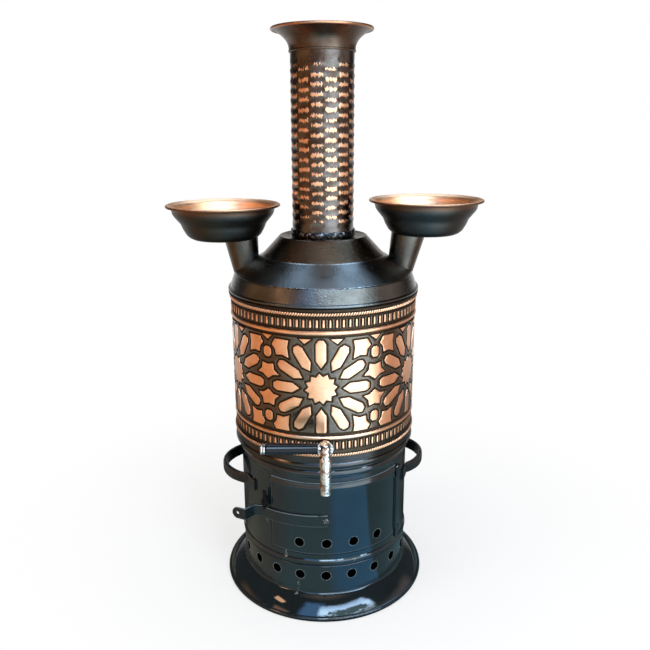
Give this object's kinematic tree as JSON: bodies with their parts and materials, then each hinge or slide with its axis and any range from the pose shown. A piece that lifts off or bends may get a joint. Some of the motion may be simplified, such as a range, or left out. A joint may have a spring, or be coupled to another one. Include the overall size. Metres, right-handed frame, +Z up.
{
  "type": "wood-fired camping samovar",
  "caption": "Camping samovar with a swinging fire door, an embossed copper tank, a lever tap, side bowls that fill the tank, and a hammered chimney with a flared top.",
  "frame": {"origin": "on the floor under the chimney's axis, in the middle of the foot", "axes": "+Z up along the chimney, -Y to the front where the tap is, +X to the right as seen from the front"},
  "size_m": [0.3174, 0.239, 0.5716],
  "materials": {
    "enamel": "glossy blue-black enamel, worn and chipped",
    "dark_bronze": "dark bronze lacquer, semi-gloss",
    "copper": "brushed and worn copper",
    "patina": "dark patina over copper",
    "nickel": "bright nickel plate",
    "steel": "dull steel, sooted",
    "black_plate": "black enamel",
    "grip": "glossy black",
    "seal": "black rubber"
  },
  "bodies": {
    "base": {"base_ring": "enamel", "ash_pan": "enamel", "grate": "steel"},
    "firebox": {"firebox_wall": "enamel", "hinge_knuckles": "enamel", "hinge_pin": "steel", "button_rivet": "steel", "handle_left": "enamel", "handle_right": "enamel"},
    "door": {"door_panel": "enamel", "door_strap": "enamel", "strap_rivet": "steel"},
    "button": {"turn_button": "black_plate"},
    "boiler": {"tank_wall": "patina", "tank_floor": "steel", "flue_tube": "steel", "motif_relief": "copper", "rib_row_upper": "copper", "rib_row_lower": "copper", "shoulder": "dark_bronze", "neck_left": "dark_bronze", "neck_right": "dark_bronze", "bowl_left": "copper", "bowl_right": "copper", "tap_gasket": "seal", "tap_flange": "nickel", "tap_body": "nickel", "tap_nut": "steel"},
    "tap_key": {"tap_plug": "nickel", "plug_ring": "seal", "lever_rod": "nickel", "lever_grip": "grip", "lever_ferrule": "nickel"},
    "chimney": {"chimney_tube": "dark_bronze", "chimney_flare": "dark_bronze"}
  },
  "joints": [
    {"name": "firebox_lift", "type": "slide", "parent": "base", "child": "firebox", "axis": [0, 0, 1], "range_m": [0, 0.03]},
    {"name": "door_swing", "type": "hinge", "parent": "firebox", "child": "door", "pos_m": [0.07772, -0.04915, 0.1062], "axis": [0, 0, 1], "range_deg": [0, 110]},
    {"name": "button_turn", "type": "hinge", "parent": "firebox", "child": "button", "pos_m": [-0.0605, -0.07109, 0.11359], "axis": [0.6481, 0.7616, 0], "range_deg": [0, 180]},
    {"name": "boiler_lift", "type": "slide", "parent": "firebox", "child": "boiler", "axis": [0, 0, 1], "range_m": [0, 0.03]},
    {"name": "tap_turn", "type": "hinge", "parent": "boiler", "child": "tap_key", "pos_m": [0.00129, -0.12299, 0.19], "axis": [0, 0, 1], "range_deg": [0, 90]},
    {"name": "chimney_lift", "type": "slide", "parent": "boiler", "child": "chimney", "axis": [0, 0, 1], "range_m": [0, 0.05]}
  ]
}
